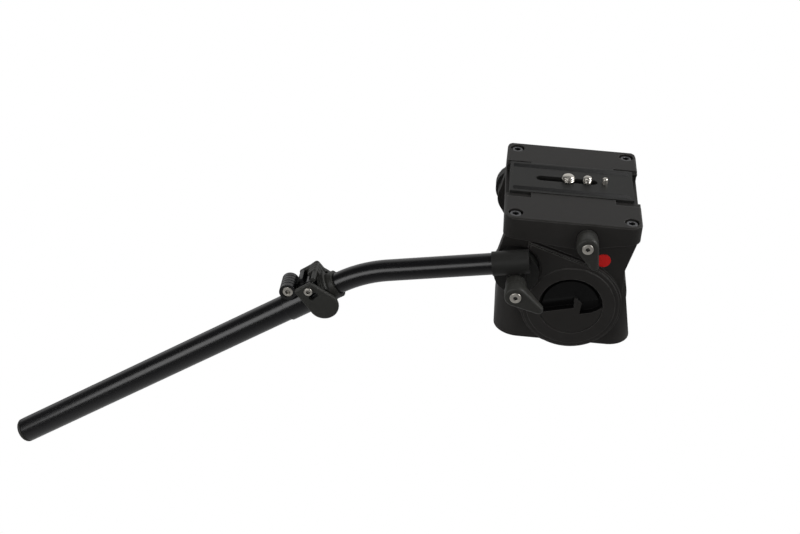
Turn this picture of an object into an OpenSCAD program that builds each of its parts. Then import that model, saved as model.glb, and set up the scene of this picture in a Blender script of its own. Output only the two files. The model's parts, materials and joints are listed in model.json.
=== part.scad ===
// Fluid video head: pan base, tilting frame with a sliding camera plate, and a telescopic pan bar.
// The origin is the centre of the base's bottom face. +Z is the pan axis, +X is forward, and -Y is
// the side with the drag dial, the plate lock and the pan bar.

/* [Base] */
// Diameter of the flat base
base_d = 60; // [54:1:70]
// Thickness of the base plate
base_t = 5; // [4:0.5:7]
// Diameter of the tripod thread, 3/8 inch
thread_d = 9.525; // [6.35:0.005:9.525]
// Depth of the tripod thread
thread_depth = 12; // [8:0.5:13]
// Height of the base collar
collar_h = 6.7; // [6:0.1:9]
// Diameter of the base collar
base_collar_d = 56; // [52:1:60]
// Diameter of the pan spindle
spindle_d = 22; // [18:0.5:24]
// Length of the pan bush
bush_l = 10; // [8:0.5:12]

/* [Housing] */
// Distance from the pan axis to the rear wall, at the bottom
housing_rear = 53; // [50:1:58]
// Distance from the pan axis to the front wall, at the bottom
housing_front = 49; // [46:1:52]
// Width of the housing, across the tilt axis
housing_w = 84; // [80:1:96]
// Height of the tilt axis above the housing's bottom
axis_rise = 41; // [39:0.5:46]
// Radius of the housing's round top
crown_r = 41; // [38:0.5:42]
// Radius of the housing's upright corners
housing_corner = 18; // [10:1:24]
// Wall of the housing
housing_wall = 4; // [3:0.5:5]
// Thickness of the housing's floor
floor_t = 4; // [3:0.5:5]

/* [Tilt frame] */
// Height of the camera platform above the tilt axis
top_rise = 69; // [66:0.5:80]
// Length of the top block, front to back
block_l = 97; // [94:1:110]
// Width of the top block
block_w = 114; // [110:1:126]
// Distance that the top block sits behind the tilt axis
block_back = 5.5; // [0:0.5:8]
// Depth of the top block at its middle
block_mid = 21.5; // [20:0.5:24]
// Depth of the top block at its rear end
block_rear = 16; // [15:0.5:20]
// Depth of the top block at its front end
block_front = 13; // [12.5:0.5:18]
// Radius of the top block's upright corners
block_corner = 7; // [3:0.5:8]
// Thickness of a cheek
cheek_t = 8; // [7:0.5:10]
// Height of the raised drum on a cheek
drum_t = 6; // [5:0.5:8]
// Radius of the tilt drum
drum_r = 36.5; // [33:0.5:38]
// Diameter of the tilt axle
axle_d = 14; // [10:0.5:16]
// Radius of a pan bar rosette
rosette_r = 15.5; // [14:0.5:17]
// Distance of the rosettes behind the tilt axis
rosette_back = 42; // [40:0.5:46]
// Height of the rosettes above the tilt axis
rosette_rise = 28; // [26:0.5:30]
// Number of teeth on a rosette
rosette_teeth = 24; // [18:2:30]
// Radius of the tilt drag dial
dial_r = 22.9; // [20:0.1:24]

/* [Camera plate] */
// Length of the camera plate
plate_l = 90; // [80:1:96]
// Width of the camera plate at its top
plate_w = 44; // [40:0.5:46]
// Thickness of the camera plate
plate_t = 9; // [8.5:0.5:10]
// Sideways offset of the camera plate
plate_y = 3.5; // [0:0.5:5]
// Diameter of the large camera screw, 3/8 inch
large_screw_d = 9.525; // [8:0.005:9.525]
// Diameter of the small camera screw, 1/4 inch
small_screw_d = 6.35; // [5:0.05:6.35]
// Height of the camera screws above the plate
screw_rise = 4.8; // [4:0.2:7]
// Diameter of the anti-twist pin
pin_d = 4; // [3:0.1:4.5]

/* [Levers] */
// Diameter of a lever's hub
hub_d = 14; // [12:0.5:15]
// Length of a lever's arm, from hub to tip centre
arm_l = 20; // [16:1:26]
// Thickness of a lever's arm
arm_t = 11; // [8:0.5:13]
// Diameter of a lever's bolt
bolt_d = 8; // [6:0.5:8.5]

/* [Pan bar] */
// Diameter of the thin, bent tube
bar_d = 15.5; // [14:0.1:16]
// Wall of both tubes
tube_wall = 1.6; // [1.2:0.1:1.8]
// Height of the bar above the rosette's axis
bar_rise = 13; // [12.5:0.5:16]
// Slope of the bar's first stretch, in degrees below level
bar_slope = 10.4; // [0:0.2:25]
// Bend of the bar, in degrees
bar_bend = 23.9; // [10:0.1:40]
// Radius of the bend
bend_r = 90; // [60:1:120]
// Length from the rosette to the knee of the bend
knee_l = 111; // [100:1:150]
// Length of the thin tube past the knee
inner_l = 282; // [240:1:290]
// Diameter of the grip tube
grip_d = 19; // [18.8:0.1:22]
// Distance of the grip's end from the knee
grip_end = 312; // [300:1:340]
// Length of the bar's socket
socket_l = 26; // [22:1:32]

/* [Fits] */
// Gap between parts that slide or turn past each other
gap = 0.3; // [0.2:0.05:0.4]
// Radial clearance of a running fit
run_fit = 0.05; // [0.02:0.01:0.1]
// Radial clearance of a fixed screw or seat
seat_fit = 0.1; // [0.05:0.05:0.2]

/* [Hidden] */
$fn = 64;
eps = 0.01;

// Colours
BLACK = [0.09, 0.09, 0.095];
GREY = [0.20, 0.20, 0.205];
TUBE = [0.05, 0.05, 0.06];
NICKEL = [0.75, 0.74, 0.72];
BRASS = [0.72, 0.60, 0.35];
STEEL = [0.55, 0.55, 0.56];
RED = [0.62, 0.06, 0.05];
GLASS = [0.75, 0.85, 0.35];

// Heights of the base, from the bottom up
spindle_flange_d = 40;
spindle_flange_t = 3.5;
housing_z = base_t + collar_h + gap;
flange_z = base_t + spindle_flange_t;
axis_z = housing_z + axis_rise;
bush_top = housing_z + bush_l;
nut_t = 4;
spindle_top = bush_top + gap + nut_t;
insert_d = 15;
insert_l = thread_depth + 2;
bush_wall = 2.5;
floor_boss_d = spindle_d + 2 * bush_wall + 8;
base_screw_r = 15.5;
base_screw_d = 4;
base_head_d = 7;
base_head_t = 2.6;

// Housing
ledge_rise = 3;
front_draft = 11;
housing_in = housing_w / 2 - housing_wall;
boss_d = axle_d + 14;
boss_in = housing_in - 4;
tilt_bush_wall = 3;
cheek_in = housing_w / 2 + 2;
boss_out = cheek_in - gap;
floor_screw_d = 3.5;
floor_post_d = 10;
post_out = (housing_corner - housing_wall - floor_post_d / 2 + 1) * cos(45);
floor_screw_front = housing_front - housing_corner + post_out;
floor_screw_rear = housing_rear - housing_corner + post_out;
floor_screw_y = housing_w / 2 - housing_corner + post_out;
floor_post_h = 14;
level_d = 8;
level_h = 6;
level_wall = 0.8;
level_x = -(crown_r + housing_rear) / 2 - 0.3;

// Drag unit inside the housing
drum_d = 46;
drum_wall = 3;
drum_len = 34;
drum_cap_t = 3;
spigot_d = axle_d + 8;
spigot_l = 15;
spring_wall = 4;
rotor_gap = 1;

// Tilt frame
top_z = axis_z + top_rise;
block_x0 = -block_back - block_l / 2;
block_x1 = -block_back + block_l / 2;
block_chamfer = 1;
drum_face = cheek_in + cheek_t + drum_t;
cheek_face = cheek_in + cheek_t;
bevel = 1.5;
rim_step = 0.8;
rim_r = drum_r - 4.5;
rosette_x = -rosette_back;
rosette_z = axis_z + rosette_rise;
boss_r = rosette_r + 0.5;
relief_r = rosette_r + 1.2;
far_rise = 10;
far_flange_r = rosette_r + 2.3;
seam_t = 2.5;
seam_h = 1;
web_inset = 1.5;
web_waist = 35.5;
web_waist_rise = 31;
wedge_x = -35;
wedge_gap = 1.2;
corner_inset_x = 7.5;
corner_inset_y = 8.4;
corner_screw_d = 5;
corner_head_d = 8.5;
corner_recess_d = 10.6;
corner_recess = 6;
corner_screw_l = 16;
corner_hole_z = top_z - corner_recess - corner_screw_l - 1;
dial_recess = drum_t + 1;
dial_floor = drum_face - dial_recess;
dial_chamfer = 3;
dial_sink = 0.6;
pocket_r = 18;
pocket_deep = 4.6;
pocket_web = 6.5;
pocket_low = -1;
disc_d = 10.6;
disc_t = 1.2;
disc_x = 19;
disc_drop = 13.6;
cover_r = dial_r;
tooth_depth = 0.7;
tooth_gap = 1;
tooth_inner = 9;

// Camera plate and its channel
plate_x = -block_back - 1;
plate_top = top_z + 0.5;
plate_z = plate_top - plate_t;
flange_w = plate_w + 6;
flange_h = 2.5;
flange_slope = 3;
pad_w = 5;
pad_t = 0.8;
pad_inset = 2.5;
lead_l = 18;
lead_near = 7.5;
lead_far = 2.7;
lead_depth = 1.6;
slot_w = 7;
slot_behind = 22.5;
slot_x0 = plate_x - slot_behind;
slot_ahead = 15.5;
slot_x1 = plate_x + slot_ahead;
large_behind = 2.5;
large_screw_x = plate_x - large_behind;
small_ahead = 11.5;
small_screw_x = plate_x + small_ahead;
pin_ahead = 24.3;
pin_x = plate_x + pin_ahead;
screw_head_t = 3;
head_slot_h = 3.6;
large_head_d = 14;
small_head_d = 11;
neck_d = 5.6;
pin_rise = 4.6;
pin_flange_d = pin_d + 3;
pin_flange_t = 1;
pin_travel = 3;
pin_cavity = plate_t - 2.2;
plug_t = 1.2;

// Clamping jaw and the plate lock
lock_x = 5;
lock_z = top_z - 11;
jaw_l = 46;
jaw_w = 9;
jaw_h = 10.4;
jaw_travel = 1.2;
lock_bolt_d = 6;
jaw_face = plate_y - flange_w / 2 - gap;

// Levers
lever_tip_r = 3.2;
plate_hub_l = 16;
bar_hub_l = 20;
tilt_hub_l = 17;
lever_screw_d = 7.6;
lever_recess = 2;
lever_socket_d = 4;
hub_gap = gap;
plate_lock_angle = -65;
bar_lever_angle = -29;
pan_lock_z = housing_z - 4.5;
pan_bolt_d = 5;
lug_w = 14;
lug_h = 9;
knob_d = 11;
knob_l = 12;
knob_flutes = 8;
tilt_lock_angle = -120;

// Pan bar
bar_y = -(drum_face + 12);
bar_x = rosette_x;
bar_z = rosette_z + bar_rise;
clamp_disc_r = rosette_r + 0.5;
clamp_disc_t = 6.7;
clamp_face = drum_face + gap;
socket_wall = 0.9;
socket_d = bar_d + 2 * socket_wall;
socket_lead = 8;
hub_seat = drum_face + 17.7;
seat_d = 13.5;
washer_t = 1;
washer_d = bolt_d + 2.8;
bend_tangent = bend_r * tan(bar_bend / 2);
straight_l = knee_l - bend_tangent;
bend_lap = 2;
bend_step = 0.1;
grip_slope = bar_slope + bar_bend;
grip_gap = (grip_d - 2 * tube_wall - bar_d) / 2;
collar_start = bend_tangent + 1.4;
bush_nose = 6;
collar_d = 20.8;
collar_end = 63;
nose_d = 20;
grip_start = 50;
cap_t = 3.5;
cap_plug = 12;
pivot_s = 36;
pivot_w = 11.6;
pivot_d = 4;
pivot_head_d = 6;
pivot_boss_d = 6.4;
pinch_s = 52.8;
pinch_w = 14.6;
pinch_d = 12.4;
pinch_screw_d = 5;
pinch_head_d = 8;
ear_w = 17;
barrel_grooves = 4;
barrel_pitch = 3.2;
barrel_groove = 0.7;
saddle_w = 14;
saddle_start = pivot_s - 3;
web_w = 13;
ledge_s = pivot_s + 4.5;
ledge_l = 8;
ledge_w = 16.6;
ledge_low = 4;
ledge_near = 1.2;
ledge_fall = 4.4;
flank_in = 11.3;
flank_t = 3.6;
flank_edge_r = 1.6;
flank_rear = [44, 14.4];
flank_front = [32.6, 14.9];
lobe = [33.5, -4.5];
lobe_r = 10.9;
notch_r = 2.1;
notch_ends = [[37, 5.4], [33.6, 6.2]];
back_crest = [31.6, 15.2];
back_crest_r = 1.9;
back_rear = [34, 16.3];
back_rear_r = 0.9;
back_foot = [27.8, 4];
back_foot_r = 1.6;
arch_r = collar_d / 2 + 0.8;
bridge_d = 3.6;

// Height of the top block's underside at a distance x from the tilt axis
function block_bottom(x) = x < 0
    ? top_z - block_mid + (block_mid - block_rear) * x / block_x0
    : top_z - block_mid + (block_mid - block_front) * x / block_x1;

// Point where the tangent from p touches the circle (c, r); side is 1 or -1
function tangent_point(p, c, r, side) =
    let (v = p - c, a = atan2(v[1], v[0]) + side * acos(r / norm(v)))
    c + r * [cos(a), sin(a)];

// Moves a flat outline in X and Z out to a plane on the near side, and extrudes it towards -Y
module near_plane(y) {
    translate([0, -y, 0]) rotate([90, 0, 0]) children();
}

// Carries what is drawn along X to the bar's first stretch: X runs down the bar, Z is up from it
module bar_frame() {
    translate([bar_x, bar_y, bar_z]) rotate([0, bar_slope, 180]) children();
}

// The same for the stretch past the knee
module grip_frame() {
    bar_frame() translate([knee_l, 0, 0]) rotate([0, bar_bend, 0]) children();
}

// Two circles and their tangents: the outline of an arm that tapers from r1 to r2
module taper(p1, r1, p2, r2) {
    v = p2 - p1;
    a = atan2(v[1], v[0]);
    b = acos((r1 - r2) / norm(v));
    translate(p1) circle(r1);
    translate(p2) circle(r2);
    polygon([
        p1 + r1 * [cos(a + b), sin(a + b)], p2 + r2 * [cos(a + b), sin(a + b)],
        p2 + r2 * [cos(a - b), sin(a - b)], p1 + r1 * [cos(a - b), sin(a - b)]
    ]);
}

// Rectangle with round corners, given by its lowest and highest corners
module round_rect(lo, hi, r) {
    translate([lo[0] + r, lo[1]]) square([hi[0] - lo[0] - 2 * r, hi[1] - lo[1]]);
    translate([lo[0], lo[1] + r]) square([hi[0] - lo[0], hi[1] - lo[1] - 2 * r]);
    for (x = [lo[0] + r, hi[0] - r], y = [lo[1] + r, hi[1] - r]) translate([x, y]) circle(r);
}

// Ring-shaped washer standing on z = 0
module washer(outer, inner, h) {
    difference() {
        cylinder(d = outer, h = h);
        translate([0, 0, -1]) cylinder(d = inner, h = h + 2);
    }
}

// Lever with its hub along Z from 0 and its arm flush with the hub's far end
module lever(hub, arm, angle) {
    difference() {
        union() {
            cylinder(d = hub_d, h = hub);
            translate([0, 0, hub - arm]) rotate([0, 0, angle]) linear_extrude(arm)
                taper([0, 0], hub_d / 2 + 0.5, [arm_l, 0], lever_tip_r);
        }
        translate([0, 0, hub - lever_recess])
            cylinder(d = lever_screw_d + 2 * seat_fit, h = lever_recess + 1);
        translate([0, 0, -1]) cylinder(d = lever_socket_d + 2 * seat_fit, h = hub + 2);
    }
}

// Socket screw that holds a lever: a head in the hub's recess and a shank down the hub
module lever_screw(hub) {
    difference() {
        union() {
            translate([0, 0, hub - lever_recess]) cylinder(d = lever_screw_d, h = lever_recess - 0.4);
            translate([0, 0, seat_fit]) cylinder(d = lever_socket_d, h = hub - lever_recess);
        }
        translate([0, 0, hub - lever_recess]) cylinder(d = lever_socket_d, h = lever_recess, $fn = 6);
    }
}

// Base

module base_plate() {
    color(BLACK) difference() {
        cylinder(d = base_d, h = base_t);
        translate([0, 0, -1]) cylinder(d = insert_d + 2 * seat_fit, h = base_t + 2);
        base_screw_places() {
            translate([0, 0, -1]) cylinder(d = base_screw_d + 2 * seat_fit, h = base_t + 2);
            translate([0, 0, -1]) cylinder(d = base_head_d + 2 * seat_fit, h = base_head_t + 1 + seat_fit);
        }
    }
}

module base_screw_places() {
    for (a = [45:90:315]) rotate([0, 0, a]) translate([base_screw_r, 0, 0]) children();
}

module thread_insert() {
    color(STEEL) difference() {
        cylinder(d = insert_d, h = insert_l);
        translate([0, 0, -1]) cylinder(d = thread_d, h = thread_depth + 1);
    }
}

module pan_spindle() {
    color(STEEL) difference() {
        union() {
            translate([0, 0, base_t]) cylinder(d = spindle_flange_d, h = spindle_flange_t);
            translate([0, 0, base_t]) cylinder(d = spindle_d, h = spindle_top - base_t);
        }
        translate([0, 0, base_t - 1])
            cylinder(d = insert_d + 2 * seat_fit, h = insert_l - base_t + 1 + seat_fit);
        base_screw_places() translate([0, 0, base_t - 1])
            cylinder(d = base_screw_d + 2 * seat_fit, h = spindle_flange_t + 2);
    }
}

module base_screws() {
    color(STEEL) base_screw_places() difference() {
        union() {
            translate([0, 0, 0.2]) cylinder(d = base_head_d, h = base_head_t - 0.2);
            translate([0, 0, 0.2]) cylinder(d = base_screw_d, h = flange_z - 0.4);
        }
        cylinder(d = base_screw_d * 0.7, h = base_head_t * 0.7, $fn = 6);
    }
}

module pan_washer() {
    color(BRASS) translate([0, 0, flange_z])
        washer(spindle_flange_d - 2, spindle_d + 2 * seat_fit, housing_z - flange_z - run_fit);
}

module spindle_nut() {
    color(STEEL) translate([0, 0, bush_top + gap]) difference() {
        cylinder(d = floor_boss_d, h = nut_t);
        translate([0, 0, -1]) cylinder(d = spindle_d + 2 * seat_fit, h = nut_t + 2);
        for (a = [0, 180]) rotate([0, 0, a]) translate([floor_boss_d / 2, 0, -1])
            cylinder(d = nut_t, h = nut_t + 2);
    }
}

module base_collar() {
    color(BLACK) translate([0, 0, base_t]) washer(base_collar_d, spindle_flange_d + 2 * seat_fit, collar_h);
}

// Housing

// Side view of the housing: upright rear box, drafted front wall and a round crown; t is an inset
module housing_side(t) {
    front_top = crown_r - t;
    polygon([
        [-housing_rear + t, housing_z - eps], [housing_front - t, housing_z - eps],
        [front_top, axis_z], [0, axis_z + front_top / 2], [-crown_r + t, axis_z],
        [-crown_r + t, axis_z - ledge_rise - t], [-housing_rear + t, axis_z - ledge_rise - t]
    ]);
    translate([0, axis_z]) circle(crown_r - t);
}

module housing_form(t) {
    w = housing_w / 2 - t;
    r = max(housing_corner - t, 1);
    intersection() {
        near_plane(-w) linear_extrude(2 * w) housing_side(t);
        translate([0, 0, housing_z])
            linear_extrude(axis_z + crown_r) round_rect([-housing_rear + t, -w], [housing_front - t, w], r);
    }
}

module housing_screw_places() {
    for (x = [-floor_screw_rear, floor_screw_front], y = [-floor_screw_y, floor_screw_y])
        translate([x, y, 0]) children();
}

module pan_housing() {
    color(GREY) difference() {
        union() {
            difference() {
                housing_form(0);
                intersection() {
                    housing_form(housing_wall);
                    translate([-block_l, -housing_in, 0])
                        cube([2 * block_l, 2 * housing_in, axis_z + crown_r]);
                }
            }
            for (y = [-boss_out, boss_in]) translate([0, y, axis_z]) rotate([-90, 0, 0])
                cylinder(d = boss_d, h = boss_out - boss_in);
            housing_screw_places() translate([0, 0, housing_z + floor_t])
                cylinder(d = floor_post_d, h = floor_post_h);
            translate([level_x, 0, axis_z - ledge_rise - level_h - 1])
                cylinder(d = level_d + 2 * level_wall + 1.6, h = level_h + 1);
        }
        translate([0, -boss_out - 1, axis_z]) rotate([-90, 0, 0])
            cylinder(d = axle_d + 2 * tilt_bush_wall + 2 * seat_fit, h = 2 * boss_out + 2);
        housing_screw_places() translate([0, 0, housing_z])
            cylinder(d = floor_screw_d + 2 * seat_fit, h = floor_post_h);
        translate([level_x, 0, axis_z - ledge_rise - level_h])
            cylinder(d = level_d + 2 * level_wall + 2 * seat_fit, h = level_h + 1);
        floor_recess();
    }
}

// Step in the housing's bottom edge that the floor sits in
module floor_recess() {
    w = housing_w / 2 - housing_wall / 2;
    r = max(housing_corner - housing_wall / 2, 1);
    translate([0, 0, housing_z - 1]) linear_extrude(floor_t + 1)
        round_rect([-housing_rear + housing_wall / 2, -w], [housing_front - housing_wall / 2 - 1, w], r);
}

module housing_floor() {
    w = housing_w / 2 - housing_wall / 2 - seat_fit;
    r = max(housing_corner - housing_wall / 2 - seat_fit, 1);
    color(BLACK) difference() {
        union() {
            translate([0, 0, housing_z]) linear_extrude(floor_t)
                round_rect([-housing_rear + housing_wall / 2 + seat_fit, -w],
                           [housing_front - housing_wall / 2 - 1 - seat_fit, w], r);
            translate([0, 0, housing_z]) cylinder(d = floor_boss_d, h = bush_l);
            pan_lock_lug();
        }
        pan_lock_place() translate([0, 0, -housing_w / 2])
            cylinder(d = pan_bolt_d + 2 * run_fit, h = housing_w);
        translate([0, 0, housing_z - 1])
            cylinder(d = spindle_d + 2 * bush_wall + 2 * seat_fit, h = bush_l + 2);
        housing_screw_places() {
            translate([0, 0, housing_z - 1]) cylinder(d = floor_screw_d + 2 * seat_fit, h = floor_t + 2);
            translate([0, 0, housing_z - 1])
                cylinder(d = 2 * floor_screw_d + 2 * seat_fit, h = 1 + floor_t / 2);
        }
    }
}

module pan_lock_lug() {
    y0 = base_d / 2 + 0.8;
    translate([-lug_w / 2, y0, housing_z - lug_h])
        cube([lug_w, housing_w / 2 - housing_wall / 2 - seat_fit - y0, lug_h + 1]);
}

module floor_screws() {
    color(STEEL) housing_screw_places() {
        translate([0, 0, housing_z + 0.2]) cylinder(d = 2 * floor_screw_d, h = floor_t / 2 - 0.2);
        translate([0, 0, housing_z + 0.2]) cylinder(d = floor_screw_d, h = floor_post_h - 1);
    }
}

module pan_bush() {
    color(BRASS) translate([0, 0, housing_z])
        washer(spindle_d + 2 * bush_wall, spindle_d + 2 * run_fit, bush_l);
}

module tilt_bushes() {
    color(BRASS) for (y = [-boss_out, boss_in]) translate([0, y, axis_z]) rotate([-90, 0, 0])
        washer(axle_d + 2 * tilt_bush_wall, axle_d + 2 * run_fit, boss_out - boss_in);
}

module drag_drum() {
    color(STEEL) translate([0, -boss_in, axis_z]) rotate([-90, 0, 0]) difference() {
        cylinder(d = drum_d, h = drum_len);
        translate([0, 0, drum_wall]) cylinder(d = drum_d - 2 * drum_wall, h = drum_len);
        translate([0, 0, -1]) cylinder(d = axle_d + 2 * gap, h = drum_len);
    }
}

module drag_cap() {
    color(STEEL) translate([0, -boss_in + drum_len, axis_z]) rotate([-90, 0, 0]) difference() {
        union() {
            cylinder(d = drum_d, h = drum_cap_t);
            cylinder(d = spigot_d, h = drum_cap_t + spigot_l);
        }
        translate([0, 0, -1]) cylinder(d = axle_d + 2 * gap, h = drum_cap_t + spigot_l + 2);
    }
}

module drag_rotor() {
    color(BRASS) translate([0, -boss_in + drum_wall + rotor_gap, axis_z]) rotate([-90, 0, 0])
        washer(drum_d - 2 * drum_wall - 2 * rotor_gap, axle_d + 2 * seat_fit, drum_len - drum_wall - 2 * rotor_gap);
}

module balance_spring() {
    color(STEEL) translate([0, -boss_in + drum_len + drum_cap_t + gap, axis_z]) rotate([-90, 0, 0])
        washer(spigot_d + 2 * gap + 2 * spring_wall, spigot_d + 2 * gap, spigot_l - 2 * gap);
}

module level_rim() {
    color(NICKEL) translate([level_x, 0, axis_z - ledge_rise - level_h])
        washer(level_d + 2 * level_wall, level_d + 2 * seat_fit, level_h + 0.6);
}

module level_vial() {
    color(GLASS) translate([level_x, 0, axis_z - ledge_rise - level_h])
        cylinder(d = level_d, h = level_h + 0.3);
}

// Pan lock, a thumbscrew in a lug under the far drum

module pan_lock_place() {
    translate([0, housing_w / 2 + gap, pan_lock_z]) rotate([-90, 0, 0]) children();
}

module pan_lock_knob() {
    color(BLACK) pan_lock_place() difference() {
        union() {
            cylinder(d = knob_d, h = knob_l - 1);
            cylinder(d = knob_d - 2, h = knob_l);
        }
        for (a = [0:360 / knob_flutes:359]) rotate([0, 0, a]) translate([knob_d / 2 + 0.5, 0, 2])
            cylinder(d = 2.2, h = knob_l);
        translate([0, 0, -1]) cylinder(d = pan_bolt_d + 2 * seat_fit, h = knob_l - 2);
    }
}

module pan_lock_bolt() {
    reach = housing_w / 2 + gap - base_collar_d / 2 - 0.5;
    color(STEEL) pan_lock_place() translate([0, 0, -reach])
        cylinder(d = pan_bolt_d, h = reach + knob_l - 4);
}

// Tilt frame

module tilt_axle() {
    half = dial_floor - 2 * gap - 2;
    color(STEEL) translate([0, -half, axis_z]) rotate([-90, 0, 0]) cylinder(d = axle_d, h = 2 * half);
}

// Underside and side outline of the top block, as seen from the near side
module block_side() {
    c = block_chamfer;
    polygon([
        [block_x0, block_bottom(block_x0)], [0, block_bottom(0)], [block_x1, block_bottom(block_x1)],
        [block_x1, top_z - c], [block_x1 - c, top_z], [block_x0 + c, top_z], [block_x0, top_z - c]
    ]);
}

// Cross-section of the camera plate, grown by a clearance, standing on its underside
module plate_section(t) {
    f = flange_w / 2 + t;
    w = plate_w / 2 + t;
    translate([plate_y, plate_z]) polygon([
        [-f, -t], [f, -t], [f, flange_h + t], [w, flange_h + flange_slope + t], [w, plate_t],
        [-w, plate_t], [-w, flange_h + flange_slope + t], [-f, flange_h + t]
    ]);
}

// Extrudes a section in Y and Z along X from x0
module along_x(x0, l) {
    translate([x0, 0, 0]) rotate([90, 0, 90]) linear_extrude(l) children();
}

module corner_places() {
    for (x = [block_x0 + corner_inset_x, block_x1 - corner_inset_x],
         y = [-block_w / 2 + corner_inset_y, block_w / 2 - corner_inset_y])
        translate([x, y, 0]) children();
}

module top_block() {
    half = block_w / 2;
    c = block_chamfer;
    color(GREY) difference() {
        intersection() {
            near_plane(-half) linear_extrude(block_w) block_side();
            translate([0, 0, axis_z]) linear_extrude(top_rise + 1)
                round_rect([block_x0, -half], [block_x1, half], block_corner);
            along_x(block_x0 - 1, block_l + 2) polygon([
                [-half, axis_z], [half, axis_z], [half, top_z - c], [half - c, top_z],
                [-half + c, top_z], [-half, top_z - c]
            ]);
        }
        along_x(block_x0 - 1, block_l + 2) plate_section(gap);
        lead_ins();
        jaw_pocket();
        corner_places() {
            translate([0, 0, top_z - corner_recess]) cylinder(d = corner_recess_d, h = corner_recess + 1);
            translate([0, 0, corner_hole_z]) cylinder(d = corner_screw_d + 2 * seat_fit, h = top_rise);
        }
        near_plane(0) translate([lock_x, lock_z, -jaw_face])
            cylinder(d = lock_bolt_d + 2 * run_fit, h = block_w);
    }
}

// Shallow steps beside the channel's mouths, where the plate slides in
module lead_ins() {
    near = plate_y - plate_w / 2 - lead_near;
    far = plate_y + plate_w / 2 + lead_far;
    for (x = [block_x0 - 1, block_x1 - lead_l]) translate([x, near, top_z - lead_depth])
        cube([lead_l + 1, far - near, lead_depth + 1]);
}

module jaw_pocket() {
    depth = jaw_w + jaw_travel + 2 * gap;
    translate([lock_x - jaw_l / 2 - gap, jaw_face - depth, lock_z - jaw_h / 2 + 1 - gap])
        cube([jaw_l + 2 * gap, depth + gap, jaw_h + 2 * gap]);
}

module plate_jaw() {
    color(STEEL) difference() {
        translate([lock_x - jaw_l / 2, jaw_face - jaw_w, lock_z - jaw_h / 2 + 1])
            cube([jaw_l, jaw_w, jaw_h]);
        along_x(block_x0, block_l) plate_section(gap);
    }
}

module cheek_outline() {
    c = [0, axis_z];
    r = [rosette_x, rosette_z];
    x0 = block_x0 + web_inset;
    x1 = block_x1 - web_inset;
    taper(c, drum_r, r, boss_r);
    polygon([
        [x0, block_bottom(x0)], [0, block_bottom(0)], [x1, block_bottom(x1)],
        [web_waist, axis_z + web_waist_rise], c + drum_r * [cos(6), sin(6)], c, r,
        r + (boss_r - 0.3) * [cos(160), sin(160)]
    ]);
}

// The raised drum with its wedge towards the block's rear corner, drawn in by t
module drum_outline(t) {
    c = [0, axis_z];
    w = [wedge_x + t, block_bottom(wedge_x) - wedge_gap - t];
    difference() {
        union() {
            translate(c) circle(drum_r - t);
            polygon([w, tangent_point(w, c, drum_r - t, -1), c, tangent_point(w, c, drum_r - t, 1)]);
        }
        translate([rosette_x, rosette_z]) circle(relief_r + t);
    }
}

// The low rim round the dial, cleared for the rosette
module rim_outline() {
    difference() {
        translate([0, axis_z]) circle(rim_r);
        translate([rosette_x, rosette_z]) circle(relief_r + 2 * bevel);
    }
}

// Strip under the block that is cut from a cheek's face as a shadow line
module seam_outline() {
    x0 = block_x0 - 1;
    x1 = block_x1 + 1;
    polygon([
        [x0, block_bottom(x0) - seam_h], [0, block_bottom(0) - seam_h], [x1, block_bottom(x1) - seam_h],
        [x1, top_z], [x0, top_z]
    ]);
}

// One cheek, on the near side: the web, the arm of the rosette and the raised drum
module cheek() {
    difference() {
        union() {
            near_plane(cheek_in) linear_extrude(cheek_t) cheek_outline();
            near_plane(cheek_face - eps) linear_extrude(drum_t - rim_step - bevel + eps) drum_outline(0);
            near_plane(drum_face - rim_step - bevel - eps) linear_extrude(bevel + eps) drum_outline(bevel);
            near_plane(drum_face - rim_step - eps) linear_extrude(rim_step + eps) rim_outline();
        }
        near_plane(cheek_in - 1) translate([0, axis_z]) cylinder(d = axle_d + 2 * run_fit, h = drum_face);
        near_plane(cheek_in - 1) translate([rosette_x, rosette_z])
            cylinder(d = bolt_d + 2 * run_fit, h = cheek_t + 2);
        corner_places() translate([0, 0, corner_hole_z])
            cylinder(d = corner_screw_d + 2 * seat_fit, h = top_rise);
        near_plane(dial_floor) translate([0, axis_z]) cylinder(r = dial_r + gap, h = dial_recess + 1);
        near_plane(cheek_face - seam_t) linear_extrude(seam_t + 1) seam_outline();
    }
}

module near_cheek() {
    color(GREY) difference() {
        cheek();
        near_plane(cheek_face - disc_t) translate([disc_x, block_bottom(disc_x) - disc_drop])
            cylinder(d = disc_d + 2 * seat_fit, h = disc_t + 1);
    }
}

module far_cheek() {
    color(GREY) mirror([0, 1, 0]) cheek();
}

module cheek_disc() {
    color(RED) near_plane(cheek_face - disc_t) translate([disc_x, block_bottom(disc_x) - disc_drop])
        cylinder(d = disc_d, h = disc_t + 0.3);
}

module corner_screws() {
    head_z = top_z - corner_recess;
    color(BLACK) corner_places() difference() {
        union() {
            translate([0, 0, head_z]) cylinder(d = corner_head_d, h = corner_recess - 1);
            translate([0, 0, head_z - corner_screw_l]) cylinder(d = corner_screw_d, h = corner_screw_l + 1);
        }
        translate([0, 0, top_z - corner_recess / 2 - 1])
            cylinder(d = corner_screw_d * 0.9, h = corner_recess, $fn = 6);
    }
}

// Toothed disc of height h that a bar clamp sits on, with a wider head of height head above the drum
module rosette(h, head_r, head) {
    near_plane(cheek_face) translate([rosette_x, rosette_z]) difference() {
        union() {
            cylinder(r = rosette_r, h = h - head + eps);
            translate([0, 0, h - head]) cylinder(r = head_r, h = head);
        }
        translate([0, 0, -1]) cylinder(d = bolt_d + 2 * run_fit, h = h + 2);
        for (a = [0:360 / rosette_teeth:359]) rotate([0, 0, a])
            translate([tooth_inner, -tooth_gap / 2, h - tooth_depth])
            cube([head_r, tooth_gap, 2 * tooth_depth]);
    }
}

module near_rosette() {
    color(STEEL) rosette(drum_t, rosette_r, 2);
}

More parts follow.
